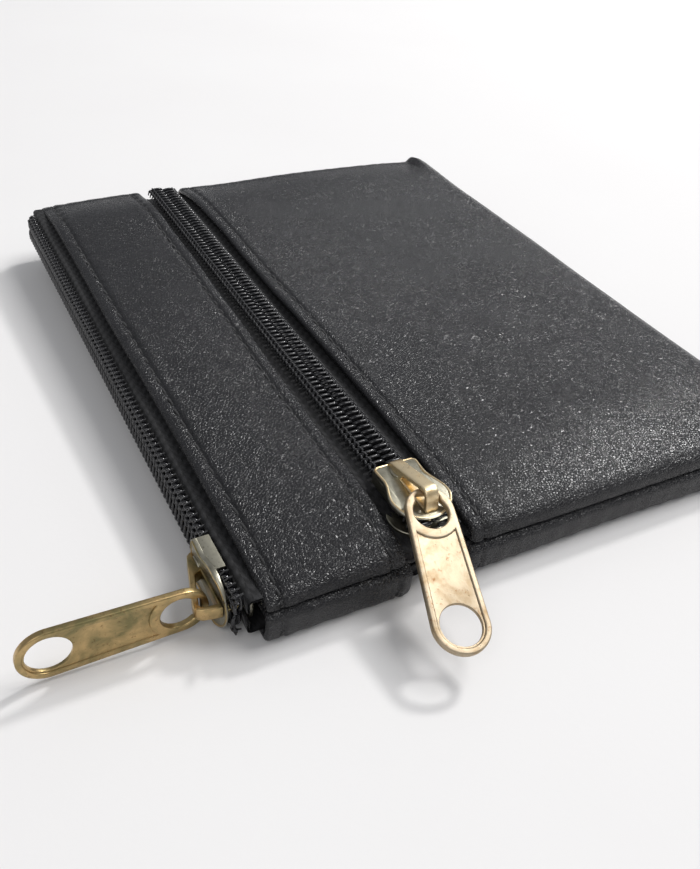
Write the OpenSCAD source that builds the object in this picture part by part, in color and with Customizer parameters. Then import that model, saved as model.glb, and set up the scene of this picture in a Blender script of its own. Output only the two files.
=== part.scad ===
/* [Purse] */
// Length along the zips
purse_l = 121; // [90:1:160]
// Width from the bottom fold to the leather edge at the mouth
purse_w = 94.7; // [70:0.1:130]
// Thickness of the flat, empty purse
purse_t = 10; // [9.5:0.1:14]
// Height of the leather at the mouth edge
mouth_t = 9; // [8.6:0.1:12]
// Leather thickness, turned edges included
leather_t = 1.4; // [1:0.1:2]
// Gap between the leather edges over a pocket zip
zip_gap = 10.6; // [10:0.1:14]
// Width of the leather strip between the mouth and the pocket zip
strip_w = 20; // [14:0.5:30]

/* [Zips] */
// Tape thickness
tape_t = 0.35; // [0.2:0.05:0.6]
// Height of one coil row above its tape
coil_h = 1.7; // [1.2:0.1:2.4]
// Outer half-width of the closed coils
coil_half = 2.75; // [2.2:0.05:3.2]
// Half of the space left between the two coil rows
coil_part = 0.75; // [0.6:0.05:1]
// Slider length
slider_l = 11.6; // [10:0.1:14]
// Widest part of the slider
slider_w = 9.1; // [8:0.1:11]
// Width of the slider's tail
tail_w = 7; // [6:0.1:8]
// How far each slider stops short of the side seam
end_stop = 9.2; // [8:0.1:14]

/* [Pulls] */
// Length from the hinge to the tip
pull_l = 23; // [18:0.5:32]
// Width over the rims at the tip
pull_w = 7.8; // [6:0.1:10]
// Hole in the tip
pull_hole = 5.6; // [3:0.1:7]
// Droop of the front pull below level, in degrees
front_droop = 18; // [0:1:18]
// Sideways lie of the front pull, in degrees
front_yaw = 14; // [0:1:18]

/* [Hidden] */
$fn = 48;
gap = 0.1;
half_l = purse_l / 2;
y_bottom = -47.5;
y_mouth = y_bottom + purse_w;
y_strip = y_mouth - strip_w;
y_panel = y_strip - zip_gap;
y_zip = (y_strip + y_panel) / 2 - 0.2;
crease_z = 5.8;
side_r = 3.4;
flat_y = 29;
mouth_r = (pow(y_mouth - flat_y, 2) + pow(purse_t - mouth_t, 2)) / 2 / (purse_t - mouth_t);
// height of the front face at y
function face_z(y) =
  y < flat_y ? purse_t : purse_t - mouth_r + sqrt(pow(mouth_r, 2) - pow(y - flat_y, 2));
tape_in = leather_t + gap;
back_in = tape_in + 0.5;
wing_in = 1.3;
wing_t = 0.8;
tape_z = 1.05;
tape_gap = 0.85;
coil_z = tape_z - tape_t - 0.05;
z_front = purse_t - tape_in + tape_z - tape_t;
z_back = back_in - tape_z + tape_t;
z_mouth = mouth_t / 2;
y_main = y_mouth + 0.35 + wing_in + wing_t;
x_slide = half_l - end_stop;
hinge_x = -2.5;
hinge_z = 3.3;
bar_r = 0.5;
stitch_pitch = 2.95;
stitch_in = 2.2;
groove = 0.35;

// ---- helpers ----
module rr(x0, y0, x1, y1, r0, r1) {
  // rectangle whose lower corners have radius r0 and upper corners r1
  difference() {
    translate([x0, y0]) square([x1 - x0, y1 - y0]);
    for (s = [0, 1]) {
      translate([s ? x1 : x0, y0]) difference() {
        translate([-r0, -r0]) square(2 * r0);
        translate([s ? -r0 : r0, r0]) circle(r0);
        translate([s ? -3 * r0 : r0, -r0]) square([2 * r0, 3 * r0]);
        translate([-2 * r0, r0]) square([4 * r0, 2 * r0]);
      }
      translate([s ? x1 : x0, y1]) difference() {
        translate([-r1, -r1]) square(2 * r1);
        translate([s ? -r1 : r1, -r1]) circle(r1);
        translate([s ? -3 * r1 : r1, -2 * r1]) square([2 * r1, 3 * r1]);
        translate([-2 * r1, -3 * r1]) square([4 * r1, 2 * r1]);
      }
    }
  }
}
module along_x(x0, x1) { // drawing (y, z) pulled along x
  translate([x0, 0, 0]) rotate([90, 0, 90]) linear_extrude(x1 - x0) children();
}
module along_y(y0, y1) { // drawing (x, z) pulled along y
  translate([0, y1, 0]) rotate([90, 0, 0]) linear_extrude(y1 - y0) children();
}
module section_yz(i) {
  // flat faces, a gentle fall to the mouth and a full round at the bottom fold
  r = purse_t / 2 - i;
  intersection() {
    translate([y_bottom, i]) square([purse_w, purse_t - 2 * i]);
    union() {
      translate([flat_y, purse_t - mouth_r]) circle(mouth_r - i, $fn = 360);
      translate([y_bottom, 0]) square([flat_y - y_bottom, purse_t]);
    }
    union() {
      translate([y_bottom + purse_t / 2, purse_t / 2]) circle(r);
      translate([y_bottom + purse_t / 2, 0]) square([purse_w, purse_t]);
    }
  }
}
module section_xz(i) {
  x = half_l - i;
  if (i == 0) {
    rr(-x, crease_z - 0.05, x, purse_t, 0.8, side_r);
    rr(-x, 0, x, crease_z + 0.05, 1.5, 1.5);
    translate([-x + 2.5, crease_z - 2]) square([2 * x - 5, 4]);
  } else rr(-x, i, x, purse_t - i, 0.6, side_r - i);
}
module envelope(i) {
  intersection() {
    along_x(-half_l - 1, half_l + 1) section_yz(i);
    along_y(y_bottom - 1, y_mouth + 1) section_xz(i);
  }
}
module skin(i, t) {
  difference() { envelope(i); envelope(i + t); }
}
module slab(y0, y1, z0, z1) {
  translate([-half_l - 2, y0, z0]) cube([purse_l + 4, y1 - y0, z1 - z0]);
}
module over(front) { // everything above or below the crease
  translate([-half_l - 2, -80, front ? crease_z : crease_z - 30]) cube([purse_l + 4, 160, 30]);
}
module stitch_row(y, front) { // stitches lying in their groove
  x0 = half_l - 4.6;
  n = floor(2 * x0 / stitch_pitch);
  color("#141416") for (k = [0 : n - 1])
    translate([(k - (n - 1) / 2) * stitch_pitch - 1.05, y - 0.2, front ? face_z(y) - 0.32 : 0.02])
      cube([2.1, 0.4, 0.3]);
}
module stitch_groove(y, front) {
  translate([-half_l + 4, y - 0.35, front ? face_z(y) - groove : -1])
    cube([purse_l - 8, 0.7, 1 + groove]);
}

// ---- leather ----
module strip_body(front) {
  color("#232327") difference() {
    intersection() {
      skin(0, leather_t);
      slab(y_strip, y_mouth + 1, -1, purse_t + 1);
      over(front);
    }
    stitch_groove(y_mouth - stitch_in, front);
    stitch_groove(y_strip + stitch_in, front);
  }
}
module front_strip() { strip_body(true); }
module back_strip() { strip_body(false); }
module wrap_panel() { // front panel, bottom fold and back panel in one
  color("#202024") difference() {
    intersection() {
      skin(0, leather_t);
      slab(y_bottom - 1, y_panel, -1, purse_t + 1);
    }
    stitch_groove(y_panel - stitch_in, true);
    stitch_groove(y_panel - stitch_in, false);
  }
}
module side_seam_near() { side_thread(-1); }
module side_seam_far() { side_thread(1); }
module side_thread(s) {
  color("#18181b") translate([s * (half_l - leather_t - gap - 0.3) - 0.2, y_bottom + 7, crease_z - 0.2])
    cube([0.4, y_mouth - y_bottom - 16, 0.4]);
}

// ---- linings ----
module main_lining() {
  // thin between the pockets, deeper behind the strips, open towards the mouth
  x = half_l - 3;
  color("#3a3438") difference() {
    union() {
      translate([-x, y_bottom + 8, 4.2]) cube([2 * x, y_strip - y_bottom, 2]);
      translate([-x, y_strip + 4, 2.7]) cube([2 * x, 11.5, 3.7]);
    }
    translate([-x + 0.3, y_bottom + 8.3, 4.5]) cube([2 * x - 0.6, y_strip - y_bottom, 1.4]);
    translate([-x + 0.3, y_strip + 4.3, 3]) cube([2 * x - 0.6, 20, 3.1]);
  }
}
module pocket_lining(front) {
  i = front ? tape_in + tape_t + gap : back_in + tape_t + gap;
  z0 = front ? 6.5 : i;
  z1 = front ? purse_t - i : 4.1;
  x = half_l - 3.6;
  color("#3d363a") difference() {
    translate([-x + 1, y_bottom + 5, z0]) cube([2 * x - 2, y_strip + 3.6 - y_bottom - 5, z1 - z0]);
    translate([-x + 1.3, y_bottom + 5.3, z0 + 0.3])
      cube([2 * x - 2.6, y_strip + 3 - y_bottom - 5, z1 - z0 - 0.6]);
    translate([-x, y_zip - 5.4, front ? z0 + 0.3 : z0 - 1])
      cube([2 * x, 10.8, z1 - z0 + 0.7]);
  }
}
module front_pocket_lining() { pocket_lining(true); }
module back_pocket_lining() { pocket_lining(false); }

// ---- pocket zips ----
module pocket_tape(front, upper) {
  i = front ? tape_in : back_in;
  y0 = upper ? y_zip + tape_gap : y_zip - 10;
  y1 = upper ? y_zip + 10 : y_zip - tape_gap;
  color("#151517") intersection() {
    skin(i, tape_t);
    slab(y0, y1, -1, purse_t + 1);
    translate([-half_l, -60, front ? crease_z + 0.2 : -1])
      cube([purse_l, 120, front ? 20 : crease_z + 0.8]);
  }
}
module front_tape_upper() { pocket_tape(true, true); }
module front_tape_lower() { pocket_tape(true, false); }
module back_tape_upper() { pocket_tape(false, true); }
module back_tape_lower() { pocket_tape(false, false); }
module coil_bar(s) {
  // one sewn coil row in the frame of its chain, s = side
  w = coil_half - coil_part;
  x = x_slide + hinge_x + 1.6;
  translate([0, s * (coil_part + w / 2), -coil_z]) along_x(-x, x)
    rr(-w / 2, 0, w / 2, coil_h, 0.2, 0.7);
}
module front_frame() { translate([0, y_zip, z_front]) children(); }
module back_frame() { translate([0, y_zip, z_back]) rotate([180, 0, 0]) children(); }
module main_frame() { translate([0, y_main, z_mouth]) rotate([-90, 0, 0]) children(); }
module front_coil_upper() { color("#101012") front_frame() coil_bar(1); }
module front_coil_lower() { color("#101012") front_frame() coil_bar(-1); }
module back_coil_upper() { color("#101012") back_frame() coil_bar(-1); }
module back_coil_lower() { color("#101012") back_frame() coil_bar(1); }

// ---- mouth zip ----
module main_tape(s) {
  // from under the coil, round the corner and in beneath the leather strip
  z = z_mouth - leather_t - gap - 0.02;
  r = 0.65;
  y = y_main - tape_z + tape_t;
  color("#151517") translate([0, 0, z_mouth]) along_x(-half_l + 2.2, half_l - 2.2) {
    translate([y - tape_t, s > 0 ? tape_gap : -z + r]) square([tape_t, z - r - tape_gap]);
    intersection() {
      translate([y - r, s * (z - r)]) difference() { circle(r); circle(r - tape_t); }
      translate([y - r, s > 0 ? z - r : -z]) square([r, r]);
    }
    translate([y_mouth - 6, s > 0 ? z - tape_t : -z]) square([y - r - y_mouth + 6, tape_t]);
  }
}
module main_tape_front() { main_tape(1); }
module main_tape_back() { main_tape(-1); }
module main_coil_front() { color("#101012") main_frame() coil_bar(-1); }
module main_coil_back() { color("#101012") main_frame() coil_bar(1); }

// ---- topstitching ----
module strip_edge_stitch_front() { stitch_row(y_mouth - stitch_in, true); }
module strip_zip_stitch_front() { stitch_row(y_strip + stitch_in, true); }
module panel_zip_stitch_front() { stitch_row(y_panel - stitch_in, true); }
module strip_edge_stitch_back() { stitch_row(y_mouth - stitch_in, false); }
module strip_zip_stitch_back() { stitch_row(y_strip + stitch_in, false); }
module panel_zip_stitch_back() { stitch_row(y_panel - stitch_in, false); }

// ---- sliders: closing direction -x, pull side +z, origin in the chain ----
function wing_half(x) = // half-width of a wing along its length
  let(t = (x + slider_l / 2) / slider_l)
  t < 0.34 ? slider_w / 2 * sqrt(max(0, 1 - pow((0.34 - t) / 0.34, 2)))
  : t < 0.76 ? slider_w / 2 - (slider_w - tail_w + 0.3) / 2 * pow(sin(90 * (t - 0.34) / 0.42), 2)
  : tail_w / 2 - 0.15 + 0.15 * (t - 0.76) / 0.24;
module wing(narrow) {
  n = 30;
  xs = [for (k = [0 : n]) -slider_l / 2 + slider_l * (k < 12 ? 0.34 * (1 - cos(90 * k / 12)) : 0.34 + 0.66 * (k - 12) / 18)];
  intersection() {
    linear_extrude(wing_t)
      polygon(concat([for (x = xs) [x, wing_half(x)]], [for (k = [0 : n - 1]) [xs[n - k], -wing_half(xs[n - k])]]));
    translate([-slider_l, -narrow, -1]) cube([2 * slider_l, 2 * narrow, 3]);
  }
}
module slider(narrow = 9) {
  difference() {
    translate([0, 0, wing_in]) wing(9);
    // the front of the wing falls away under the pull
    translate([-2.8, 0, wing_in + wing_t]) rotate([0, -11, 0]) translate([-6, -10, 0]) cube([6, 20, 3]);
  }
  translate([0, 0, -wing_in - wing_t]) wing(narrow);
  // post between the wings, ahead of the meshed coils
  translate([-slider_l / 2 + 1.4, 0, -wing_in - 0.1]) cylinder(h = 2 * wing_in + 0.2, d = 1, $fn = 32);
  // side guides on the tail half
  for (s = [-1, 1]) translate([-0.6, s > 0 ? 3.02 : -3.37, -0.35]) cube([slider_l / 2 + 0.6, 0.35, wing_in + 0.4]);
  // strap over the top wing that holds the pull
  translate([0, 1, 0]) rotate([90, 0, 0]) linear_extrude(2) difference() {
    polygon([[5.7, wing_in + 0.4], [5.7, 2.75], [-3.1, 5.05], [-3.9, 4.95], [-4.5, 4.4],
      [-4.85, wing_in + 0.4]]);
    polygon([[-4.0, 2.1], [-3.75, 4.05], [-3.3, 4.27], [1.6, 2.98], [2.1, 2.1]]);
  }
}

// ---- pulls: along -x from the hinge at the origin, plate level ----
module pull() {
  intersection() {
    pull_plate();
    // the bar that turns in the strap is round
    union() {
      rotate([90, 0, 0]) cylinder(h = 20, r = bar_r + 0.02, center = true);
      translate([-40, -10, -2]) cube([40 - bar_r, 20, 4]);
      for (s = [-1, 1]) translate([-20, s * 6.4, 0]) cube([40, 10, 4], center = true);
    }
  }
}
module pull_plate() {
  difference() {
    union() {
      // thin plate
      translate([0, 0, -0.28]) linear_extrude(0.56) pull_shape(pull_w);
      // raised rim
      translate([0, 0, -bar_r]) linear_extrude(2 * bar_r) difference() {
        pull_shape(pull_w);
        pull_shape(pull_w - 1.7);
      }
      translate([0, 0, -bar_r]) linear_extrude(2 * bar_r) intersection() {
        translate([-3.35, 0]) circle(3.85);
        pull_shape(pull_w);
      }
    }
    // round hole in the tip, loop opening round the strap
    translate([-pull_l + pull_w / 2, 0, -2]) cylinder(h = 4, d = pull_hole);
    translate([0, 0, -2]) linear_extrude(4) {
      translate([-3.3, 0]) circle(2.45);
      difference() {
        translate([-2.6, -1.75]) square([2.6 - bar_r, 3.5]);
        for (s = [-1, 1]) translate([-bar_r, s * 1.75]) difference() {
          translate([-0.7, -0.7]) square(1.4);
          translate([-0.7, -s * 0.7]) circle(0.7);
          translate([-2.1, -2]) square([1.4, 4]);
          translate([-1, s > 0 ? -2.7 : 0.7]) square([2, 2]);
        }
      }
    }
  }
}
module pull_shape(w) {
  // straight sides that narrow slightly to the loop, both ends rounded
  rt = w / 2;
  rl = w / 2 - 0.45;
  xt = -pull_l + pull_w / 2;
  xl = bar_r - (pull_w / 2 - 0.45);
  a = asin((rt - rl) / (xl - xt));
  translate([xt, 0]) circle(rt);
  translate([xl, 0]) circle(rl);
  polygon([[xt + rt * sin(a), rt * cos(a)], [xl + rl * sin(a), rl * cos(a)],
    [xl + rl * sin(a), -rl * cos(a)], [xt + rt * sin(a), -rt * cos(a)]]);
}
module at_hinge() { translate([hinge_x, 0, hinge_z]) children(); }

module main_slider() { color("#b5a27a") translate([-x_slide, 0, 0]) main_frame() slider(2.15); }
module main_pull() {
  color("#a8946a") translate([-x_slide, 0, 0]) main_frame() at_hinge() rotate([0, 90, 0]) pull();
}
module front_slider() { color("#b5a27a") translate([-x_slide, 0, 0]) front_frame() slider(); }
module front_pull() {
  color("#a8946a") translate([-x_slide, 0, 0]) front_frame() at_hinge()
    rotate([0, -front_droop, 0]) rotate([0, 0, -front_yaw]) pull();
}
module back_slider() { color("#b5a27a") translate([x_slide, 0, 0]) back_turned() slider(); }
module back_pull() {
  color("#a8946a") translate([x_slide, 0, 0]) back_turned() at_hinge() rotate([0, 4, 0]) pull();
}
module back_turned() { translate([0, y_zip, z_back]) rotate([0, 180, 0]) children(); }

front_strip();
back_strip();
wrap_panel();
side_seam_near();
side_seam_far();
main_lining();
front_pocket_lining();
back_pocket_lining();
main_tape_front();
main_tape_back();
main_coil_front();
main_coil_back();
front_tape_upper();
front_tape_lower();
front_coil_upper();
front_coil_lower();
back_tape_upper();
back_tape_lower();
back_coil_upper();
back_coil_lower();
strip_edge_stitch_front();
strip_zip_stitch_front();
panel_zip_stitch_front();
strip_edge_stitch_back();
strip_zip_stitch_back();
panel_zip_stitch_back();
main_slider();
main_pull();
front_slider();
front_pull();
back_slider();
back_pull();
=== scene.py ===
import math

import bmesh
import bpy
import numpy as np
from mathutils import Matrix, Vector


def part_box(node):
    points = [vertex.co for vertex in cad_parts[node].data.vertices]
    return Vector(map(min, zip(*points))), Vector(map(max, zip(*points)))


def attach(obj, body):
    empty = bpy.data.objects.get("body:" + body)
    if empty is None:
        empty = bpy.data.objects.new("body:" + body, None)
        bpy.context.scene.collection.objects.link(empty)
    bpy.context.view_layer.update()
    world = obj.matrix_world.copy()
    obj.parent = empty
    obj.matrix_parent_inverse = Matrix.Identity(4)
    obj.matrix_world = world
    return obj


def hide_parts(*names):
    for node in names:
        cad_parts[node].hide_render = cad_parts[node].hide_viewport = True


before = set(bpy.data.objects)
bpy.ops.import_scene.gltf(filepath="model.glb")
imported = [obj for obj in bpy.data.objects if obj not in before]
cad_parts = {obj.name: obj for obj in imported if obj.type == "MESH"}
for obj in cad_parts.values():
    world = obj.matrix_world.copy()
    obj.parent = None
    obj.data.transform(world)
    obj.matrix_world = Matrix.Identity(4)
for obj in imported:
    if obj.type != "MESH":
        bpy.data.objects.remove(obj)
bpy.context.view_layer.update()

MM = 0.001
TAU = 2 * math.pi
SC = bpy.context.scene

# ---------------------------------------------------------------- sizes, in mm, read from the frame


def cad(node):
    lo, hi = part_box(node)
    return np.array(lo) * 1000, np.array(hi) * 1000


END_STOP = 9.2      # from a slider's middle to the short side
COIL_INSET = 0.75   # from a zip's centre line to the coil's CAD box
COIL_RISE = 0.2     # the coil's middle over the zip's own plane
STITCH_IN = 2.2     # from a turned edge to its row of stitches
STITCH_PITCH = 2.95
THICK = 1.3         # the turned edge, leather on leather

panel_lo, panel_hi = cad("wrap_panel")
strip_lo, strip_hi = cad("front_strip")
HALF = panel_hi[0]
TOP = panel_hi[2]
Y_BOTTOM, Y_PANEL = panel_lo[1], panel_hi[1]
Y_STRIP, Y_MOUTH = strip_lo[1], strip_hi[1]
CREASE = strip_lo[2]
X_SLIDE = HALF - END_STOP

coil_lo, coil_hi = cad("front_coil_upper")
Y_ZIP = coil_lo[1] - COIL_INSET
COIL_Z = (coil_lo[2] + coil_hi[2]) / 2 - COIL_RISE
back_lo, back_hi = cad("back_coil_upper")
COIL_Z_BACK = (back_lo[2] + back_hi[2]) / 2 + COIL_RISE
main_lo, main_hi = cad("main_coil_front")
Y_MAIN = (main_lo[1] + main_hi[1]) / 2 - COIL_RISE
Z_MOUTH = main_lo[2] - COIL_INSET

# the front face is flat up to FLAT_Y, then falls on an arc by MOUTH_DROP at the mouth
FLAT_Y = 29.0
MOUTH_DROP = 1.0
MOUTH_R = ((Y_MOUTH - FLAT_Y) ** 2 + MOUTH_DROP ** 2) / 2 / MOUTH_DROP

# the panel wraps round a half circle at the bottom
FOLD_R = TOP / 2
FOLD_LEN = math.pi * FOLD_R
Y_AXIS = Y_BOTTOM + FOLD_R

# the sewn short sides: rounding along x, and height of the wall, on the upper and the lower layer
ROUND_UPPER, ROUND_LOWER = 3.6, 1.9
WALL_UPPER, WALL_LOWER = 3.5, 4.3

# t runs across the leather: the face is flat up to T_FLAT and rounds down until T_ROUND, and from
# T_CREASE on the leather lies inside the crease
T_FLAT, T_ROUND, T_CREASE = 0.8, 0.92, 0.97

# ---------------------------------------------------------------- mesh helpers


def mesh_obj(name, verts, faces, smooth=True):
    """an object from vertices in mm"""
    me = bpy.data.meshes.new(name)
    me.from_pydata((np.asarray(verts, float) * MM).tolist(), [], [tuple(map(int, f)) for f in faces])
    me.validate()
    me.update()
    if smooth:
        me.polygons.foreach_set("use_smooth", [True] * len(me.polygons))
    ob = bpy.data.objects.new(name, me)
    SC.collection.objects.link(ob)
    return ob


def grid_faces(rows, cols, loop_rows=False, loop_cols=False):
    r = np.arange(rows if loop_rows else rows - 1)
    c = np.arange(cols if loop_cols else cols - 1)
    rr, cc = np.meshgrid(r, c, indexing="ij")
    r1, c1 = (rr + 1) % rows, (cc + 1) % cols
    f = np.stack([rr * cols + cc, r1 * cols + cc, r1 * cols + c1, rr * cols + c1], -1)
    return f.reshape(-1, 4)


def tubes(paths, radius, sides=8, flat=1.0):
    """closed-ended tubes along paths (n, m, 3); radius may be one number or one per point of a path"""
    paths = np.asarray(paths, float)
    n, m, _ = paths.shape
    rad = np.broadcast_to(np.asarray(radius, float), (m,))
    tan = np.gradient(paths, axis=1)
    tan /= np.linalg.norm(tan, axis=2, keepdims=True) + 1e-12
    ref = np.where(np.abs(tan[..., 2:3]) > 0.9, np.array([1.0, 0, 0]), np.array([0, 0, 1.0]))
    a = np.cross(tan, ref)
    a /= np.linalg.norm(a, axis=2, keepdims=True) + 1e-12
    b = np.cross(a, tan)
    ang = np.arange(sides) * TAU / sides
    ring = (a[:, :, None] * np.cos(ang)[None, None, :, None]
            + b[:, :, None] * np.sin(ang)[None, None, :, None] * flat)
    v = paths[:, :, None] + ring * rad[None, :, None, None]
    one = grid_faces(m, sides, False, True)
    caps = [list(range(sides))[::-1], [(m - 1) * sides + k for k in range(sides)]]
    starts = [i * m * sides for i in range(n)]
    faces = [tuple(q) for q in np.concatenate([one + k for k in starts]).tolist()]
    faces += [tuple(k + start for k in cap) for start in starts for cap in caps]
    return v.reshape(-1, 3), faces


def smooth01(x):
    x = np.clip(x, 0, 1)
    return x * x * (3 - 2 * x)


def hump(x, width):
    return np.exp(-(x / width) ** 2)


def waves(x, y, seed, size, n=7):
    """smooth seeded ripple field of about +-1"""
    r = np.random.default_rng(seed)
    out = 0
    for _ in range(n):
        a, k, p = r.uniform(0, TAU), r.uniform(0.6, 1.5) / size, r.uniform(0, 6.28)
        out = out + np.sin((x * math.cos(a) + y * math.sin(a)) * k * math.pi + p)
    return out / math.sqrt(n) / 1.1


# ---------------------------------------------------------------- the leather envelope


def face_z(y):
    y = np.asarray(y, float)
    past = np.clip(y - FLAT_Y, 0, None)
    return np.where(y < FLAT_Y, TOP, TOP - MOUTH_R + np.sqrt(MOUTH_R ** 2 - past ** 2))


def wrap_of(y, front):
    """wrap coordinate w of a point at y: runs down the front face, round the fold and up the back"""
    return (Y_AXIS - y) if front else (FOLD_LEN + y - Y_AXIS)


def envelope(w, t):
    """A point of the leather's outside, and how far ripples and tucks lift it off that point.
    w is the wrap coordinate; t is -1..1 from side crease to side crease: the flat face, the rounding,
    the short return into the crease, then the inside of the crease."""
    w, t = np.broadcast_arrays(np.asarray(w, float), np.asarray(t, float))
    fold = np.clip(w / FOLD_LEN, 0, 1)
    beta = fold * math.pi
    front = w < FOLD_LEN / 2
    on_fold = (w > 0) & (w < FOLD_LEN)
    s, sx = np.abs(t), np.sign(t)

    # p: the outer line of the section; q: the line in the crease that the sides come down to
    y_face = np.where(w < 0, Y_AXIS - w, np.where(w > FOLD_LEN, w - FOLD_LEN + Y_AXIS, Y_AXIS))
    py = np.where(on_fold, Y_AXIS - FOLD_R * np.sin(beta), y_face)
    pz = np.where(on_fold, FOLD_R + FOLD_R * np.cos(beta), np.where(front, face_z(y_face), 0.0))
    qy = np.where(on_fold, Y_AXIS - 0.6 * np.sin(beta), y_face)
    qz = CREASE + 0.06 * np.cos(beta)

    # rounding: larger on the upper layer, wider at the bottom corners
    near_fold = 1 - smooth01((y_face - Y_AXIS) / 9)
    blend = smooth01((fold - 0.2) / 0.6)
    rx = ROUND_UPPER * (1 - blend) + ROUND_LOWER * blend
    rx = rx + 3.6 * near_fold * np.sin(np.clip(beta, 0.3, math.pi - 0.3))
    flat = HALF - rx

    # the front face falls gently over its last 15 mm towards the sewn ends, and the back lifts a little
    fall_in = np.clip((np.minimum(s / T_FLAT, 1) * flat - (flat - 15)) / 15, 0, 1) ** 2
    pz = np.where(on_fold, pz, pz - np.where(front, 1.25 * fall_in, -0.3 * fall_in))

    # upper layer: rounded ridge and a short wall; lower layer: full shoulder under the crease, tall wall
    a = np.clip((s - T_FLAT) / (T_ROUND - T_FLAT), 0, 1) * math.pi / 2
    b = np.clip((s - T_ROUND) / (T_CREASE - T_ROUND), 0, 1) * math.pi / 2
    c = np.clip((s - T_CREASE) / (1 - T_CREASE), 0, 1)
    low = smooth01((fold - 0.35) / 0.3)
    lip = 0.16 * (1 - low) + 0.26 * low
    h = np.where(s < T_ROUND, lip + (1 - lip) * np.cos(a) ** (0.85 - 0.15 * low),
                 lip * (1 - np.sin(b) ** 0.9))
    side = HALF - 0.75 * (1 - low) - 0.05 * low
    tuck_in = 0.9 * (1 - low) + 1.7 * low
    x = np.where(s < T_FLAT, flat * s / T_FLAT,
                 np.where(s < T_ROUND, flat + (side - flat) * np.sin(a) ** (0.9 - 0.2 * low),
                          side - tuck_in * (1 - np.cos(b)) - 2.2 * c))

    # soft waves in the faces, stronger at the far end; tucks where the seam gathers the sides
    ripple = waves(x * sx, y_face + 30 * fold, 5, 34) * 0.24 + waves(x * sx, y_face, 9, 15) * 0.07
    ripple = ripple * (0.55 + 0.9 * smooth01((x * sx + 5) / 55))
    calm = 1 - 0.75 * smooth01((s - 0.93) / 0.04)
    edge = np.clip((s - T_FLAT) / (T_CREASE - T_FLAT), 0, 1)
    tuck = np.sin(y_face * TAU / 3.6 + 1.4 * np.sin(y_face * 0.31 + sx * 2 + 3 * front))
    tuck = tuck * edge * (1 - edge) * 4 * np.where(front, 0.04, 0.09)
    lift = np.where(s < T_CREASE, ripple * calm + tuck, 0)
    return np.stack([x * sx, qy + (py - qy) * h, qz + (pz - qz) * h], -1), lift


def outward(w, t):
    """unit normals of the envelope, pointing out of the purse"""
    e1, e2 = 0.02, 0.0004
    p1, _ = envelope(w + e1, t)
    p0, _ = envelope(w - e1, t)
    q1, _ = envelope(w, np.clip(t + e2, -1, 1))
    q0, _ = envelope(w, np.clip(t - e2, -1, 1))
    n = np.cross(p1 - p0, q1 - q0)
    n /= np.linalg.norm(n, axis=-1, keepdims=True) + 1e-12
    return n


def reach(dist):
    """1 at an edge beside a pocket zip, fading into the leather"""
    return hump(dist, 12)


def drawn_in(x, w, near, panel):
    """Shift in y that lays leather in towards the chain, less where the slider spreads the edges.
    near is 1 at the edge; the panel moves up by a third of what the strips come down."""
    from_slider = np.where(w < FOLD_LEN / 2, x, -x) + X_SLIDE
    amount = 0.15 + 1.15 * smooth01((from_slider - 14) / 70)
    return (0.35 if panel else -1.0) * amount * near


def edge_relief(dist):
    """height over the face near a turned edge: bead, stitch groove, small rise behind it"""
    return 0.06 * hump(dist - 1.2, 0.6) - 0.26 * hump(dist - STITCH_IN, 0.33) + 0.07 * hump(dist - 3.5, 1.0)


def across_columns():
    """t of the mesh columns, closer together where the sides turn"""
    half = np.concatenate([
        np.linspace(0, T_FLAT, 92, endpoint=False), np.linspace(T_FLAT, T_ROUND, 15, endpoint=False),
        np.linspace(T_ROUND, T_CREASE, 8, endpoint=False), np.linspace(T_CREASE, 1, 4)])
    return np.concatenate([-half[::-1], half[1:]])


def leather_sheet(name, w_start, w_end, node, panel=False):
    """leather from one turned edge to another, with the turned hem inside each"""
    length = abs(w_end - w_start)
    sign = math.copysign(1, w_end - w_start)
    r = THICK / 2
    # rows as (distance from the first edge, depth under the outside), from the inner end of one hem,
    # round its edge, over the face and round the other edge
    hem = [(5.0 - (5.0 - r) * k, THICK) for k in np.linspace(0, 1, 4, endpoint=False)]
    hem += [(r - r * math.sin(k), r + r * math.cos(k)) for k in np.linspace(0, math.pi, 9)]
    fine = list(np.arange(r + 0.22, 6.2, 0.24))
    coarse = np.linspace(6.3, length - 6.3, max(3, int((length - 12.6) / 1.15)))
    rows = hem + [(a, 0.0) for a in fine] + [(a, 0.0) for a in coarse]
    rows += [(length - a, 0.0) for a in fine[::-1]] + [(length - a, b) for a, b in hem[::-1]]

    along, depth = np.array(rows).T
    W, T = np.meshgrid(w_start + sign * along, across_columns(), indexing="ij")
    A, D = along[:, None] + 0 * T, depth[:, None] + 0 * T
    dist = np.minimum(A, length - A)
    fade = 1 - smooth01((np.abs(T) - 0.94) / 0.03)
    dimple = 0.07 * np.cos(T * HALF / T_FLAT * TAU / STITCH_PITCH) * hump(dist - STITCH_IN, 0.9)
    lift = np.where(D < 0.5, (edge_relief(dist) + dimple) * fade, 0)
    lift = lift + waves(T * 60, W * 0.3, 21 + int(w_start) % 7, 9) * 0.10 * hump(dist, 2.5) * fade
    P, d = envelope(W, T)
    P = P + outward(W, T) * (d + lift - D)[..., None]

    # the turned edge wanders a little along its length, and is drawn in beside a pocket zip
    wander = waves(T * 60, T * 0 + w_start, 33, 22) * 0.16 * fade
    P[..., 1] += np.where(np.abs(T) < T_CREASE, wander * hump(dist, 3.0), 0)
    near = reach(A) + reach(length - A) if panel else reach(A)
    P[..., 1] += drawn_in(P[..., 0], W, near, panel)
    faces = grid_faces(*T.shape, True, False)
    if sign > 0:
        faces = faces[:, ::-1]
    return give(mesh_obj(name, P.reshape(-1, 3), faces), M_LEATHER, "purse", "leather", node)


# ---------------------------------------------------------------- materials


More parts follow.
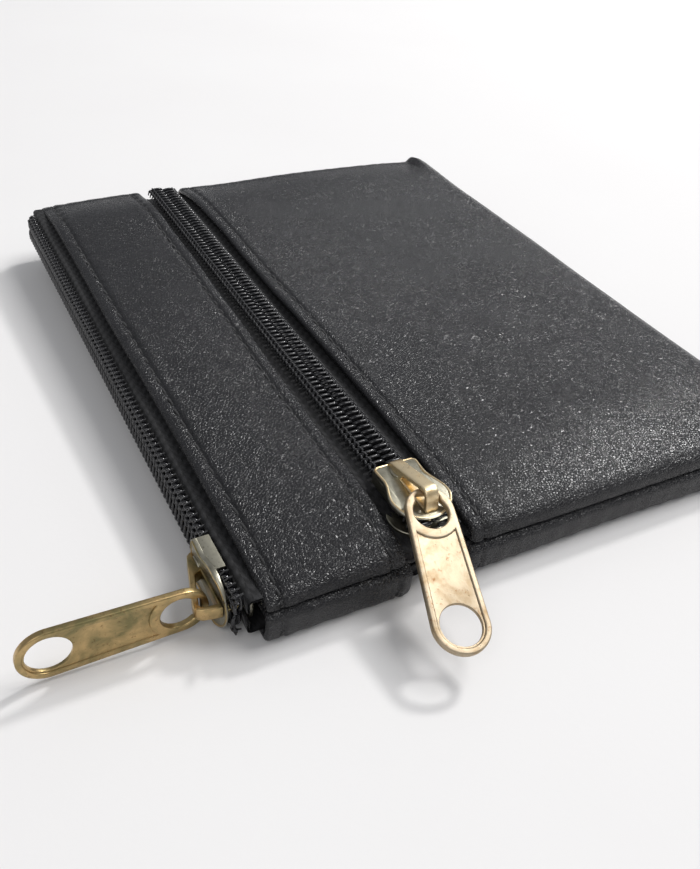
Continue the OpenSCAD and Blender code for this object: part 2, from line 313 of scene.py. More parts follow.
class Nodes:
    """a material under construction: a method adds what it names and returns its output socket"""

    def __init__(self, name):
        self.mat = bpy.data.materials.new(name)
        self.mat.use_nodes = True
        self.nt = self.mat.node_tree
        self.bsdf = self.nt.nodes["Principled BSDF"]
        self.coord = self.nt.nodes.new("ShaderNodeTexCoord").outputs["Object"]

    def feed(self, sock, v):
        if isinstance(v, (int, float)):
            sock.default_value = v
        elif isinstance(v, tuple):
            sock.default_value = (*v, 1)
        else:
            self.nt.links.new(v, sock)

    def node(self, kind, vec, **inputs):
        n = self.nt.nodes.new(kind)
        self.nt.links.new(vec, n.inputs["Vector"])
        for k, v in inputs.items():
            n.inputs[k].default_value = v
        return n

    def mapping(self, scale, rot=(0, 0, 0)):
        return self.node("ShaderNodeMapping", self.coord, Scale=scale, Rotation=rot).outputs["Vector"]

    def noise(self, scale, detail=2.0, rough=0.5, vec=None, dist=0.0):
        n = self.node("ShaderNodeTexNoise", vec or self.coord, Scale=scale, Detail=detail,
                      Roughness=rough, Distortion=dist)
        return n.outputs["Fac"]

    def voronoi(self, scale, feature="F1", vec=None):
        n = self.node("ShaderNodeTexVoronoi", vec or self.coord, Scale=scale)
        n.feature = feature
        return n.outputs["Distance"]

    def wave(self, scale, direction, dist=0.0, vec=None):
        n = self.node("ShaderNodeTexWave", vec or self.coord, Scale=scale, Distortion=dist)
        n.bands_direction = direction
        return n.outputs["Fac"]

    def mix(self, fac, a, b):
        n = self.nt.nodes.new("ShaderNodeMix")
        n.data_type = "RGBA"
        for sock, v in (("Factor", fac), ("A", a), ("B", b)):
            self.feed(n.inputs[sock], v)
        return [o for o in n.outputs if o.type == "RGBA"][0]

    def math(self, op, a, b):
        n = self.nt.nodes.new("ShaderNodeMath")
        n.operation = op
        self.feed(n.inputs[0], a)
        self.feed(n.inputs[1], b)
        return n.outputs[0]

    def blend(self, a, wa, b, wb):
        """weighted sum of two fields"""
        return self.math("ADD", self.math("MULTIPLY", a, wa), self.math("MULTIPLY", b, wb))

    def range(self, v, a, b, c, d):
        n = self.nt.nodes.new("ShaderNodeMapRange")
        for k, val in zip(("From Min", "From Max", "To Min", "To Max"), (a, b, c, d)):
            n.inputs[k].default_value = val
        self.feed(n.inputs["Value"], v)
        return n.outputs["Result"]

    def bump(self, height, distance, strength, below=None):
        n = self.nt.nodes.new("ShaderNodeBump")
        n.inputs["Strength"].default_value = strength
        n.inputs["Distance"].default_value = distance
        self.feed(n.inputs["Height"], height)
        if below is not None:
            self.feed(n.inputs["Normal"], below)
        return n.outputs["Normal"]

    def set(self, **sockets):
        for k, v in sockets.items():
            self.feed(self.bsdf.inputs[k.replace("_", " ")], v)
        return self.mat


def leather_material():
    """black leather: pebble grain, finer grain on it, faint creases, broad unevenness"""
    m = Nodes("leather")
    pebble = m.voronoi(2500, "DISTANCE_TO_EDGE")
    grain = m.noise(2600, 3, 0.6)
    fine = m.voronoi(3600)
    crease = m.noise(240, 5, 0.62, dist=0.7)
    broad = m.noise(42, 3, 0.55)
    dye = m.range(m.noise(120, 4, 0.6), 0.3, 0.7, 0, 1)
    colour = m.mix(dye, (0.0062, 0.0062, 0.0072), (0.0108, 0.0106, 0.0125))
    # painted shade: the colour darkens in the grooves between the pebbles
    colour = m.mix(m.range(pebble, 0.0, 0.16, 0.35, 0.0), colour, (0.006, 0.006, 0.007))
    height = m.bump(m.range(pebble, 0.0, 0.22, 0, 1), 0.00008, 0.7)
    height = m.bump(m.blend(grain, 0.6, fine, 0.5), 0.00005, 0.7, height)
    height = m.bump(crease, 0.0003, 0.24, height)
    height = m.bump(broad, 0.0015, 0.14, height)
    rough = m.range(m.blend(broad, 0.45, grain, 0.55), 0.3, 0.7, 0.23, 0.32)
    return m.set(Base_Color=colour, Roughness=rough, Normal=height, IOR=1.5, Specular_IOR_Level=0.42)


def tape_material():
    """woven tape: a herringbone of two opposed diagonals, with fuzz"""
    m = Nodes("zip_tape")
    right = m.wave(330, "DIAGONAL", 0.6)
    left = m.wave(330, "DIAGONAL", 0.6, m.mapping((1, -1, -1)))
    weave = m.mix(m.math("GREATER_THAN", m.wave(260, "Y", 0.3), 0.5), right, left)
    fuzz = m.noise(3800, 3, 0.7)
    h = m.blend(weave, 0.8, fuzz, 0.5)
    # painted shade: the colour follows the weave's height and is darker in its grooves; the fuzz varies it at
    # random
    colour = m.mix(m.range(h, 0.2, 1.1, 0, 1), (0.0025, 0.0025, 0.003), (0.013, 0.013, 0.0145))
    return m.set(Base_Color=colour, Roughness=m.range(fuzz, 0.3, 0.7, 0.6, 0.85),
                 Normal=m.bump(h, 0.00016, 0.9), Sheen_Weight=0.08, Sheen_Roughness=0.5, IOR=1.4)


def coil_material():
    m = Nodes("zip_coil")
    s = m.noise(900, 3, 0.6)
    return m.set(Base_Color=m.mix(s, (0.006, 0.006, 0.007), (0.014, 0.014, 0.016)),
                 Roughness=m.range(s, 0.3, 0.7, 0.12, 0.24), Normal=m.bump(s, 0.00004, 0.5), IOR=1.53)


def thread_material(name, dark, light, rough=0.6):
    """twisted thread between two colours, darker in the grooves of the twist as painted shade, and varied at
    random by the fuzz
    """
    m = Nodes(name)
    fuzz = m.noise(2600, 2, 0.6)
    h = m.blend(m.wave(1500, "DIAGONAL", 1.2), 0.7, fuzz, 0.4)
    return m.set(Base_Color=m.mix(m.range(h, 0.2, 1.0, 0, 1), dark, light),
                 Roughness=m.range(fuzz, 0.3, 0.7, rough, rough + 0.15),
                 Normal=m.bump(h, 0.00008, 0.8), IOR=1.5, Sheen_Weight=0.15)


def lining_material():
    m = Nodes("lining")
    h = m.math("MULTIPLY", m.wave(900, "X", 0.4), m.wave(900, "Y", 0.4))
    s = m.noise(160, 3)
    # painted shade: darker in the grooves of the weave; the noise varies the tone at random
    shade = m.range(m.math("ADD", h, s), 0.3, 1.5, 0, 1)
    return m.set(Base_Color=m.mix(shade, (0.012, 0.010, 0.011), (0.035, 0.030, 0.032)),
                 Roughness=m.range(s, 0.3, 0.7, 0.7, 0.85), Normal=m.bump(h, 0.0001, 0.6))


def brass_material(name, bright, dark, spots, patina, seed, rough=(0.26, 0.46)):
    """aged brass: clouds of patina, tarnish flecks, pits and scratches"""
    m = Nodes(name)
    v = m.mapping((1, 1, 1), (seed, seed * 0.7, 0))
    cloud = m.noise(260, 4, 0.6, v, 0.4)
    fleck = m.noise(1500, 4, 0.7, v)
    pit = m.voronoi(1300, "F1", v)
    scratch = m.noise(700, 3, 0.7, m.mapping((0.15, 1.6, 1.0), (seed, 0.2, 0.5)))
    base = m.mix(m.range(cloud, 0.62 - patina * 0.4, 0.80 - patina * 0.25, 0, 1), bright, dark)
    base = m.mix(m.range(fleck, 0.60, 0.70, 0, 0.75), base, spots)
    base = m.mix(m.range(pit, 0.05, 0.12, 0.45, 0), base, (0.03, 0.025, 0.02))
    height = m.bump(fleck, 0.00005, 0.35)
    height = m.bump(m.range(pit, 0.0, 0.15, 0, 1), 0.00005, 0.35, height)
    height = m.bump(scratch, 0.00004, 0.3, height)
    return m.set(Base_Color=base, Metallic=1.0, Normal=height,
                 Roughness=m.range(m.blend(cloud, 0.6, fleck, 0.4), 0.35, 0.65, *rough))


M_LEATHER = leather_material()
M_TAPE = tape_material()
M_COIL = coil_material()
M_THREAD = thread_material("thread", (0.003, 0.003, 0.0035), (0.012, 0.012, 0.013))
M_ZTHREAD = thread_material("zip_thread", (0.006, 0.006, 0.007), (0.04, 0.04, 0.044), 0.42)
M_LINING = lining_material()
M_GOLD = brass_material("antique_brass_pull", (0.46, 0.38, 0.27), (0.36, 0.25, 0.13), (0.30, 0.15, 0.06),
                        0.35, 0.3, (0.46, 0.60))
M_OLIVE = brass_material("antique_brass_olive", (0.54, 0.38, 0.18), (0.22, 0.19, 0.09), (0.16, 0.09, 0.04),
                         0.6, 1.7)
M_BODY = brass_material("antique_brass_body", (0.42, 0.40, 0.32), (0.20, 0.19, 0.15), (0.10, 0.09, 0.06),
                        0.5, 2.9)
M_EDGE = brass_material("antique_brass_edge", (0.88, 0.72, 0.46), (0.55, 0.38, 0.18), (0.30, 0.18, 0.08),
                        0.3, 4.1)


def give(ob, mat, body, slot, *nodes):
    """material, slot (not used), the CAD nodes that the piece stands for, and the body it rides on"""
    ob.data.materials.append(mat)
    if nodes:
        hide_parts(*nodes)
    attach(ob, body)
    return ob


# ---------------------------------------------------------------- leather

leather_sheet("leather_wrap_panel", wrap_of(Y_PANEL, True), wrap_of(Y_PANEL, False), "wrap_panel", True)
leather_sheet("leather_front_strip", wrap_of(Y_STRIP, True), wrap_of(Y_MOUTH, True), "front_strip")
leather_sheet("leather_back_strip", wrap_of(Y_STRIP, False), wrap_of(Y_MOUTH, False), "back_strip")

# ---------------------------------------------------------------- sewing


def t_of_arc(u, front):
    """t for a distance u in mm from the middle, measured along the surface"""
    rx, wall = (ROUND_UPPER, WALL_UPPER) if front else (ROUND_LOWER, WALL_LOWER)
    flat = HALF - rx
    rounding = math.pi / 2 * math.sqrt((rx * rx + wall * wall) / 2)
    s = abs(u)
    if s < flat:
        t = T_FLAT * s / flat
    elif s < flat + rounding:
        t = T_FLAT + (T_ROUND - T_FLAT) * (s - flat) / rounding
    else:
        t = T_ROUND + (T_CREASE - T_ROUND) * min(1, (s - flat - rounding) / 1.5)
    return math.copysign(t, u)


def stitch_row(name, y, front, node):
    """short stitches whose ends dive into the leather, a little uneven in place and slant"""
    count, half_len, radius, sunk = 43, 1.28, 0.22, 0.15
    dip = np.array([-0.62, -0.30, -0.12, -0.03, 0, -0.03, -0.12, -0.30, -0.62])
    run = np.linspace(-1, 1, len(dip))
    rng = np.random.default_rng(len(name))
    paths = []
    for k in range(count):
        shift, tilt, _, _ = rng.uniform(-0.1, 0.1, 4)
        u = (k - (count - 1) / 2) * STITCH_PITCH + run * half_len + shift
        ts = np.array([t_of_arc(v, front) for v in u])
        if np.abs(ts).max() > 0.965:
            continue
        w = wrap_of(y + run * 0.10 + tilt * 0.5, front)
        p, d = envelope(w, ts)
        q = p + outward(w, ts) * (d - sunk + dip)[:, None]
        if y < Y_MOUTH - 5:
            q[:, 1] += drawn_in(q[:, 0], w, reach(STITCH_IN), y < Y_ZIP)
        paths.append(q)
    v, f = tubes(paths, radius, 8, 0.85)
    return give(mesh_obj(name, v, f), M_THREAD, "purse", "thread", node)


for front, side in ((True, "front"), (False, "back")):
    stitch_row(f"topstitch_strip_edge_{side}", Y_MOUTH - STITCH_IN, front, f"strip_edge_stitch_{side}")
    stitch_row(f"topstitch_strip_zip_{side}", Y_STRIP + STITCH_IN, front, f"strip_zip_stitch_{side}")
    stitch_row(f"topstitch_panel_zip_{side}", Y_PANEL - STITCH_IN, front, f"panel_zip_stitch_{side}")


def side_thread(name, s, node):
    """one thread that weaves in and out along the crease of a short side"""
    y = np.linspace(Y_BOTTOM + 7, Y_MOUTH - 9, 260)
    x = s * (HALF - 1.75) + 0.1 * np.sin(y * 2.1)
    z = CREASE + 0.12 * np.sin(y * 2.1 + 1.2)
    v, f = tubes([np.stack([x, y, z], -1)], 0.2)
    return give(mesh_obj(name, v, f), M_THREAD, "purse", "thread", node)


side_thread("side_seam_thread_near", -1, "side_seam_near")
side_thread("side_seam_thread_far", 1, "side_seam_far")

# ---------------------------------------------------------------- linings keep their CAD shape

for node in ("main_lining", "front_pocket_lining", "back_pocket_lining"):
    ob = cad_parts[node]
    ob.data.materials.clear()
    ob.data.materials.append(M_LINING)

# ---------------------------------------------------------------- tapes

TAPE_GAP, TAPE_W = 0.85, 9.15   # a pocket tape's inner edge from the zip's centre line, and its width


def pocket_tape(name, front, s, node):
    """tape under the leather from near the chain outwards, with a corded edge; s is its side of the zip"""
    depth, thick, t_end = (1.5 if front else 2.0), 0.36, 0.925
    ts = np.concatenate([-np.linspace(t_end, T_FLAT, 14, endpoint=False), np.linspace(-T_FLAT, T_FLAT, 200),
                         np.linspace(T_FLAT, t_end, 15)[1:]])
    rows = np.linspace(0, TAPE_W, 24)[::s]
    away = np.concatenate([rows, rows[::-1]])[:, None] + 0 * ts
    under = np.repeat([0.0, thick], len(rows))[:, None] + 0 * ts
    T = ts + 0 * away
    Y = Y_ZIP + s * (TAPE_GAP + away)
    W = wrap_of(Y, front)
    wave = waves(T * 62, Y * 0.5, 3, 8) * 0.08 * hump(away - 4.5, 2.2)
    cord = 0.10 * hump(away - 2.7, 0.35) + 0.05 * np.sin(away * TAU / 0.9)
    P, _ = envelope(W, T)
    P = P + outward(W, T) * (wave - depth - under + cord * (under < thick / 2) - 0.10)[..., None]
    faces = grid_faces(*T.shape, True, False)
    return give(mesh_obj(name, P.reshape(-1, 3), faces), M_TAPE, "purse", "zip_tape", node)


for front, side in ((True, "front"), (False, "back")):
    pocket_tape(f"woven_tape_{side}_upper", front, 1, f"{side}_tape_upper")
    pocket_tape(f"woven_tape_{side}_lower", front, -1, f"{side}_tape_lower")


def mouth_tape(name, s, node):
    """tape that stands up beside the mouth zip, turns and runs down inside the strip; s is its side"""
    turn, top, foot, thick = 0.65, 2.98, 0.85, 0.34
    y_out = Y_MAIN - 0.7
    y_in = y_out - turn
    # outer face as (y, distance from the mouth's middle plane)
    prof = [(y_out, foot + (top - turn - foot) * k) for k in np.linspace(0, 1, 8, endpoint=False)]
    prof += [(y_in + turn * math.cos(a), top - turn + turn * math.sin(a))
             for a in np.linspace(0, math.pi / 2, 8)]
    prof += [(y_in - (y_in - (Y_MOUTH - 6)) * k, top) for k in np.linspace(0, 1, 12)[1:]]
    outer = np.array(prof)
    tan = np.gradient(outer, axis=0)
    nrm = np.stack([tan[:, 1], -tan[:, 0]], -1)
    nrm /= np.linalg.norm(nrm, axis=1, keepdims=True)
    ring = np.concatenate([outer, (outer - nrm * thick)[::-1]])
    X, R = np.meshgrid(np.linspace(-HALF + 2.2, HALF - 2.2, 210), np.arange(len(ring)))
    ripple = waves(X, ring[R, 0] * 3, 13, 7) * 0.05
    z = Z_MOUTH + s * (ring[R, 1] - 0.02 - np.abs(ripple) * 0.4)
    P = np.stack([X, ring[R, 0] + ripple, z], -1)
    faces = grid_faces(*X.shape, True, False)
    return give(mesh_obj(name, P.reshape(-1, 3), faces), M_TAPE, "purse", "zip_tape", node)


mouth_tape("woven_tape_mouth_front", 1, "main_tape_front")
mouth_tape("woven_tape_mouth_back", -1, "main_tape_back")

# ---------------------------------------------------------------- zips (local: x along, z outward)


def turned(deg, axis):
    return Matrix.Rotation(math.radians(deg), 4, axis)


ZIP_FRAME = {
    "front": Matrix.Translation((0, Y_ZIP, COIL_Z)),
    "back": Matrix.Translation((0, Y_ZIP, COIL_Z_BACK)) @ turned(180, "X"),
    "main": Matrix.Translation((0, Y_MAIN, Z_MOUTH)) @ turned(-90, "X"),
}
COIL_PITCH = 1.24
MOUTH_SPREAD = 0.8   # how far a row moves out where it enters the slider


def to_world(v, m):
    a = np.array(m)
    return v @ a[:3, :3].T + a[:3, 3]


def spread(x):
    """sideways shift of a row where the chain is open: it starts 3.2 mm in front of the slider's middle
    and is complete 4.5 mm further on"""
    return MOUTH_SPREAD * smooth01((-X_SLIDE - 3.2 - x) / 4.5)


def coil_row(which, s, node):
    """one row of the coil: a flattened helix whose heads pass the middle and mesh with the other row"""
    per_turn = 22
    x0, x1 = -HALF + 2.6, HALF - 3.2
    turn = np.arange(int((x1 - x0) / COIL_PITCH) * per_turn + 1) / per_turn
    c, sn = np.cos(turn * TAU), np.sin(turn * TAU)
    yc = np.sign(c) * np.abs(c) ** 0.8
    zc = np.sign(sn) * np.abs(sn) ** 0.75
    # the legs run straight across, so the helix drifts less along them and more at the turns
    x = x0 + (turn + (0.5 if s > 0 else 0) + 0.08 * np.sin(2 * turn * TAU)) * COIL_PITCH
    y = 1.30 + 1.22 * yc + spread(x)
    z = COIL_RISE + 0.52 * zc * (1 + 0.06 * (yc < 0))
    p = np.stack([-x if which == "back" else x, s * y, z], -1)
    v, f = tubes([p], 0.315)
    ob = mesh_obj(f"spiral_{node}", to_world(v, ZIP_FRAME[which]), f)
    return give(ob, M_COIL, "purse", "zip_coil", node)


def sewing(which, s, node):
    """thread that holds a coil row to its tape: two lanes of slanted strokes over the legs, and a loop
    that comes down beside the coil into the tape"""
    x0, x1 = -HALF + 2.4, HALF - 3.6
    u, q = np.linspace(-1, 1, 7), np.linspace(0, 1, 7)
    strokes = []
    for k in range(int((x1 - x0) / COIL_PITCH)):
        x = x0 + (k + (0.5 if s > 0 else 0) + 0.25) * COIL_PITCH
        out = float(spread(x))
        for lane, height, slant in ((2.02, 0.95, 0.13), (2.55, 0.62, -0.13)):
            strokes.append((x + u * 0.52, lane + out + u * slant, height - 0.10 * u ** 2))
        strokes.append((x + 0.45 + 0 * q, 2.62 + out + 0.42 * np.sin(q * math.pi / 2), 0.62 - 1.15 * q))
    flip = -1 if which == "back" else 1
    v, f = tubes([np.stack([flip * x, s * y, z], -1) for x, y, z in strokes], 0.125, 6)
    ob = mesh_obj(f"sewing_{node}", to_world(v, ZIP_FRAME[which]), f)
    return give(ob, M_ZTHREAD, "purse", "zip_tape")


for which, s, node in (("front", 1, "front_coil_upper"), ("front", -1, "front_coil_lower"),
                       ("back", 1, "back_coil_lower"), ("back", -1, "back_coil_upper"),
                       ("main", 1, "main_coil_back"), ("main", -1, "main_coil_front")):
    coil_row(which, s, node)
    sewing(which, s, node)

# ---------------------------------------------------------------- metal parts


def prism(outline, holes, z0, z1, bevel, m, seg=3):
    """flat shape with holes and rounded edges, drawn in mm in the XY plane of matrix m"""
    cu = bpy.data.curves.new("outline", "CURVE")
    cu.dimensions, cu.fill_mode = "2D", "BOTH"
    cu.extrude = max((z1 - z0) / 2 - bevel, 0.0)
    cu.bevel_depth, cu.bevel_resolution, cu.offset = bevel, seg, -bevel
    for pts in [outline] + list(holes):
        sp = cu.splines.new("POLY")
        sp.points.add(len(pts) - 1)
        sp.use_cyclic_u = True
        for p, q in zip(sp.points, pts):
            p.co = (q[0], q[1], 0, 1)
    ob = bpy.data.objects.new("outline", cu)
    SC.collection.objects.link(ob)
    bpy.context.view_layer.update()
    me = ob.evaluated_get(bpy.context.evaluated_depsgraph_get()).to_mesh()
    v = np.array([x.co for x in me.vertices])
    f = [tuple(p.vertices) for p in me.polygons]
    bpy.data.objects.remove(ob)
    bpy.data.curves.remove(cu)
    v[:, 2] += (z0 + z1) / 2
    return to_world(v, m), f


def metal_piece(name, parts, mats, body):
    """joins parts = [(verts, faces, material index)], with edges sharper than 38 degrees kept crisp;
    it stands for the CAD node of its body's name"""
    verts, faces, index, base = [], [], [], 0
    for v, f, k in parts:
        verts.append(v)
        faces += [tuple(i + base for i in q) for q in f]
        index += [k] * len(f)
        base += len(v)
    ob = mesh_obj(name, np.concatenate(verts), faces, False)
    for mat in mats:
        ob.data.materials.append(mat)
    ob.data.polygons.foreach_set("material_index", index)
    bm = bmesh.new()
    bm.from_mesh(ob.data)
    bmesh.ops.remove_doubles(bm, verts=bm.verts, dist=2e-6)
    bmesh.ops.recalc_face_normals(bm, faces=bm.faces)
    for f in bm.faces:
        f.smooth = True
    for e in bm.edges:
        if len(e.link_faces) == 2 and e.calc_face_angle(0) > math.radians(38):
            e.smooth = False
    bm.to_mesh(ob.data)
    bm.free()
    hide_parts(body)
    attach(ob, body)
    return ob


def arc(cx, cy, r, a0, a1, n):
    angles = np.linspace(math.radians(a0), math.radians(a1), n)
    return [(cx + r * math.cos(a), cy + r * math.sin(a)) for a in angles]


SLIDER_L, SLIDER_W, TAIL_W = 11.6, 9.1, 7.0
WING_IN, WING_T = 1.3, 0.8        # a wing's inner face from the chain's plane, and its thickness
WIDE_AT, WAIST_AT = 0.34, 0.76    # the widest place and the end of the waist, as parts of the length
FALL_X, FALL_SLOPE = -2.8, 0.194  # the outer wing's front falls away from here


def wing_half(x):
    """half width of a wing at x: round head, then a waist towards the tail"""
    t = (x + SLIDER_L / 2) / SLIDER_L
    if t < WIDE_AT:
        return SLIDER_W / 2 * math.sqrt(max(0, 1 - ((WIDE_AT - t) / WIDE_AT) ** 2))
    if t < WAIST_AT:
        draw = math.sin(math.pi / 2 * (t - WIDE_AT) / (WAIST_AT - WIDE_AT)) ** 2
        return SLIDER_W / 2 - (SLIDER_W - TAIL_W + 0.3) / 2 * draw
    return TAIL_W / 2 - 0.15 + 0.15 * (t - WAIST_AT) / (1 - WAIST_AT)


def wing_outline(inset=0.0, narrow=SLIDER_W):
    """outline of a wing, drawn in by inset and no wider than narrow on either side"""
    xs = [SLIDER_L * WIDE_AT * (1 - math.cos(math.radians(90 * k / 14))) for k in range(14)]
    xs += list(np.linspace(SLIDER_L * WIDE_AT, SLIDER_L - 0.55, 26))
    top = [(x - SLIDER_L / 2, wing_half(x - SLIDER_L / 2)) for x in xs]
    top += [(SLIDER_L / 2 - 0.45, TAIL_W / 2 - 0.02), (SLIDER_L / 2, TAIL_W / 2 - 0.5)]
    pts = (top + [(x, -y) for x, y in top[::-1]])[:-1]
    kx, ky = 1 - inset / (SLIDER_L / 2), 1 - inset / (SLIDER_W / 2)
    pts = [(x * kx, max(-narrow, min(narrow, y * ky))) for x, y in pts]
    return [q for i, q in enumerate(pts) if i == 0 or math.dist(q, pts[i - 1]) > 0.02]


def fall(x):
    return FALL_SLOPE * np.clip(FALL_X - np.asarray(x), 0, None)


def slider(name, m, body, inner_half=SLIDER_W, strap_mat=M_EDGE):
    """wings, worn bead, post, guides and the strap that holds the pull; inner_half narrows the inner wing"""
    top = WING_IN + WING_T
    v, f = prism(wing_outline(), [], WING_IN, top, 0.2, Matrix.Identity(4))
    fallen = np.maximum(v[:, 2] - fall(v[:, 0]), WING_IN + 0.2)
    v[:, 2] = np.where(v[:, 2] > WING_IN + 0.25, fallen, v[:, 2])
    parts = [(to_world(v, m), f, 0)]
    parts.append((*prism(wing_outline(0, inner_half), [], -top, -WING_IN, 0.2, m), 0))

    rim = np.array(wing_outline(0.28))
    rim = np.concatenate([rim, rim[:1]])
    bead = np.stack([rim[:, 0], rim[:, 1], top - 0.09 - fall(rim[:, 0])], -1)
    parts.append((*tubes([to_world(bead, m)], 0.17), 1))

    z = np.linspace(-WING_IN - 0.1, WING_IN + 0.1, 14)
    post = np.stack([0 * z - SLIDER_L / 2 + 1.4, 0 * z, z], -1)
    parts.append((*tubes([to_world(post, m)], 0.46 + 0.05 * np.abs(z / WING_IN) ** 3, 20), 1))

    x0, x1 = -0.6, SLIDER_L / 2 - 0.3
    for y0, y1 in ((-3.37, -3.02), (3.02, 3.37)):
        parts.append((*prism([(x0, y0), (x1, y0), (x1, y1), (x0, y1)], [], -0.35, WING_IN + 0.1, 0.08, m), 0))

    side = m @ turned(90, "X")
    outer = [(5.55, WING_IN + 0.4), (5.6, 2.35), (5.2, 2.84), (4.6, 3.03), (-2.7, 4.93), (-3.1, 5.0),
             (-3.6, 4.97), (-4.05, 4.75), (-4.45, 4.2), (-4.62, 3.4), (-4.78, 2.6), (-4.85, WING_IN + 0.4)]
    inner = [(-4.0, 2.1), (-3.95, 2.8), (-3.85, 3.6), (-3.72, 4.05), (-3.5, 4.22), (-3.2, 4.24),
             (1.5, 3.0), (1.9, 2.7), (2.1, 2.1)]
    parts.append((*prism(outer, [inner], -1.0, 1.0, 0.22, side), 1))
    foot = arc(3.7, 0, 1.5, 0, 360, 28)[:-1]
    parts.append((*prism(foot, [], top - 0.3, top + 0.16, 0.14, m), 0))
    return metal_piece(name, parts, [M_BODY, strap_mat], body)


PULL_L, PULL_W, TIP_HOLE = 23.0, 7.8, 5.6
BAR = 0.5                    # half the pull's thickness, and the radius of its hinge bar
TAPER = 0.45                 # the pull's end at the bar is this much less in radius
RIM_W = 0.85
TIP_X = PULL_W / 2 - PULL_L  # middle of the round tip
BAR_X = BAR + TAPER - PULL_W / 2


def tapered(width):
    """radii at the tip and the bar, and the angle of the sides, of a pull outline of that width"""
    tip_r, bar_r = width / 2, width / 2 - TAPER
    return tip_r, bar_r, math.asin(TAPER / (BAR_X - TIP_X))


def pull_outline():
    tip_r, bar_r, lean = tapered(PULL_W)
    a = math.degrees(lean)
    return arc(TIP_X, 0, tip_r, 90 - a, 270 + a, 46) + arc(BAR_X, 0, bar_r, -90 + a, 90 - a, 36)


def pull_recess():
    """the recess between the rims, from round the tip hole up to the arched step"""
    step_x, step_r = -3.35, 3.85
    tip_r, bar_r, lean = tapered(PULL_W - 2 * RIM_W)
    x0, y0 = TIP_X + tip_r * math.sin(lean), tip_r * math.cos(lean)
    x1, y1 = BAR_X + bar_r * math.sin(lean), bar_r * math.cos(lean)
    slope = (y1 - y0) / (x1 - x0)
    # where the straight side meets the step's circle
    x = step_x - step_r
    for _ in range(60):
        y = y0 + slope * (x - x0)
        x = step_x - math.sqrt(max(step_r ** 2 - y ** 2, 0.0))
    y = y0 + slope * (x - x0)
    end = math.degrees(math.atan2(y, x - step_x))
    a = math.degrees(lean)
    return arc(TIP_X, 0, tip_r, 90 - a, 270 + a, 46) + arc(step_x, 0, step_r, 360 - end, end, 22)


def pull(name, m, body, mat):
    """rim with a thinner recessed web, an eye round the strap and a round hole at the tip"""
    recess = pull_recess()
    eye = arc(-3.3, 0, 2.45, 46, 314, 40)
    eye += [(-0.95, -1.72), (-0.6, -1.5), (-0.5, -1.1), (-0.5, 1.1), (-0.6, 1.5), (-0.95, 1.72)]
    hole = arc(TIP_X, 0, TIP_HOLE / 2, 0, 360, 41)[:-1]
    # the web reaches a little into the rim
    cx = sum(x for x, y in recess) / len(recess)
    web = [(cx + (x - cx) * 1.02, y * 1.09) for x, y in recess]
    parts = [(*prism(pull_outline(), [recess, eye], -BAR, BAR, 0.24, m, 4), 0),
             (*prism(web, [hole], -0.28, 0.28, 0.1, m), 0)]
    return metal_piece(name, parts, [mat], body)


HINGE = Matrix.Translation((-2.5, 0, 3.3))
near_end, far_end = Matrix.Translation((-X_SLIDE, 0, 0)), Matrix.Translation((X_SLIDE, 0, 0))
at_front = near_end @ ZIP_FRAME["front"]
at_main = near_end @ ZIP_FRAME["main"]
at_back = far_end @ ZIP_FRAME["back"] @ turned(180, "Z")
slider("slider_front_pocket", at_front, "front_slider")
slider("slider_mouth", at_main, "main_slider", 2.15, M_OLIVE)
slider("slider_back_pocket", at_back, "back_slider")
pull("pull_front_pocket", at_front @ HINGE @ turned(-18, "Y") @ turned(-14, "Z"), "front_pull", M_GOLD)
pull("pull_mouth", at_main @ HINGE @ turned(90, "Y"), "main_pull", M_OLIVE)
pull("pull_back_pocket", at_back @ HINGE @ turned(4, "Y"), "back_pull", M_GOLD)

# ---------------------------------------------------------------- table, lights, camera


def table():
    """pale table, tilted because the far end of the purse is propped on the back slider and its pull"""
    slope, half = -0.0354, 2500
    m = Nodes("table_paper")
    m.set(Base_Color=m.mix(m.noise(14, 4), (0.775, 0.765, 0.76), (0.81, 0.805, 0.80)), Roughness=0.8,
          Specular_IOR_Level=0.1, Normal=m.bump(m.noise(900, 3), 0.0001, 0.15))
    pts = [(x, y, slope * (x + 55) - 0.06) for x in (-half, half) for y in (-half, half)]
    ob = mesh_obj("table_top", pts, [(0, 2, 3, 1)], False)
    ob.data.materials.append(m.mat)


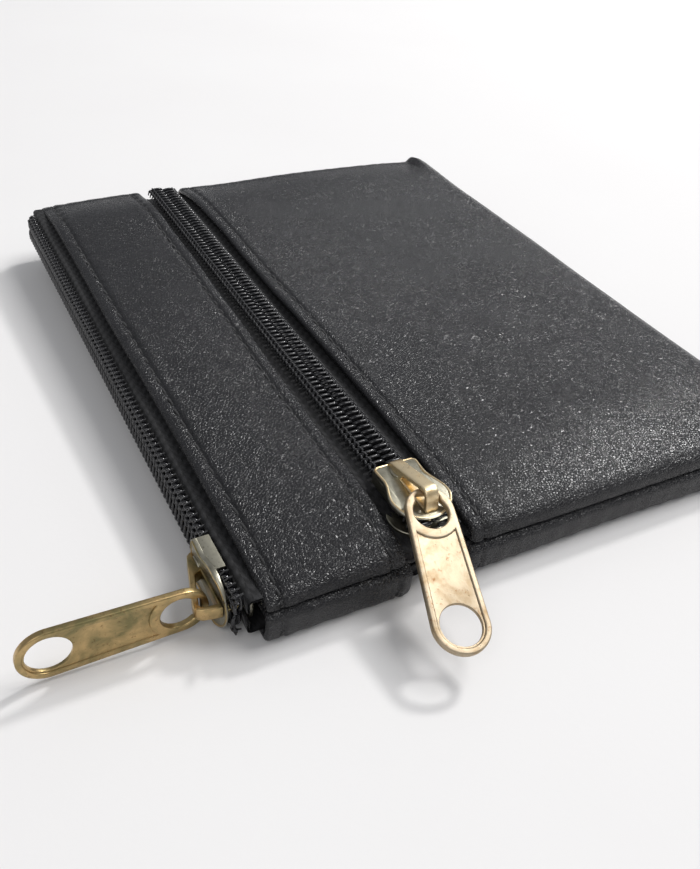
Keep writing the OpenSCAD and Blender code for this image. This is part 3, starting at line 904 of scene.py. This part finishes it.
def area(name, loc, size, size_y, power, colour):
    """rectangular light that faces the origin"""
    li = bpy.data.lights.new(name, "AREA")
    li.shape = "RECTANGLE"
    li.size, li.size_y, li.energy, li.color = size, size_y, power, colour
    ob = bpy.data.objects.new(name, li)
    ob.location = loc
    ob.rotation_euler = (-Vector(loc)).to_track_quat("-Z", "Y").to_euler()
    SC.collection.objects.link(ob)


def studio():
    area("key_overhead", (-0.064, -0.80, 1.28), 0.80, 0.70, 11.5, (1.0, 0.99, 0.985))
    area("glint", (0.47, -1.04, 1.09), 0.20, 0.16, 11.0, (1.0, 0.99, 0.98))
    area("back_soft", (0.9, -1.1, 0.95), 1.6, 1.0, 1.6, (0.95, 0.97, 1.0))
    area("side_fill", (-0.7, 0.7, 1.1), 0.8, 0.8, 4.0, (1.0, 0.99, 0.98))
    SC.world = bpy.data.worlds.new("studio")
    SC.world.use_nodes = True
    sky = SC.world.node_tree.nodes["Background"]
    sky.inputs["Color"].default_value = (0.93, 0.95, 1.0, 1)
    sky.inputs["Strength"].default_value = 0.34
    SC.view_settings.view_transform = "Standard"
    SC.view_settings.look = "None"


def camera(loc, yaw, pitch, roll, lens):
    """camera at loc in metres, looking along yaw and down by pitch, in degrees"""
    yaw, pitch, roll = math.radians(yaw), math.radians(pitch), math.radians(roll)
    forward = Vector((math.cos(pitch) * math.cos(yaw), math.cos(pitch) * math.sin(yaw), -math.sin(pitch)))
    level = forward.cross(Vector((0, 0, 1))).normalized()
    upright = level.cross(forward)
    right = level * math.cos(roll) + upright * math.sin(roll)
    up = upright * math.cos(roll) - level * math.sin(roll)
    pose = Matrix((right, up, -forward)).transposed().to_4x4()
    pose.translation = Vector(loc)
    cam = bpy.data.cameras.new("camera")
    cam.sensor_width, cam.lens = 36, lens
    cam.clip_start, cam.clip_end = 0.005, 20
    ob = bpy.data.objects.new("camera", cam)
    ob.matrix_world = pose
    SC.collection.objects.link(ob)
    SC.camera = ob


table()
studio()
camera((-0.12562, 0.07833, 0.09161), -31.49, 37.92, 6.19, 37.17238)
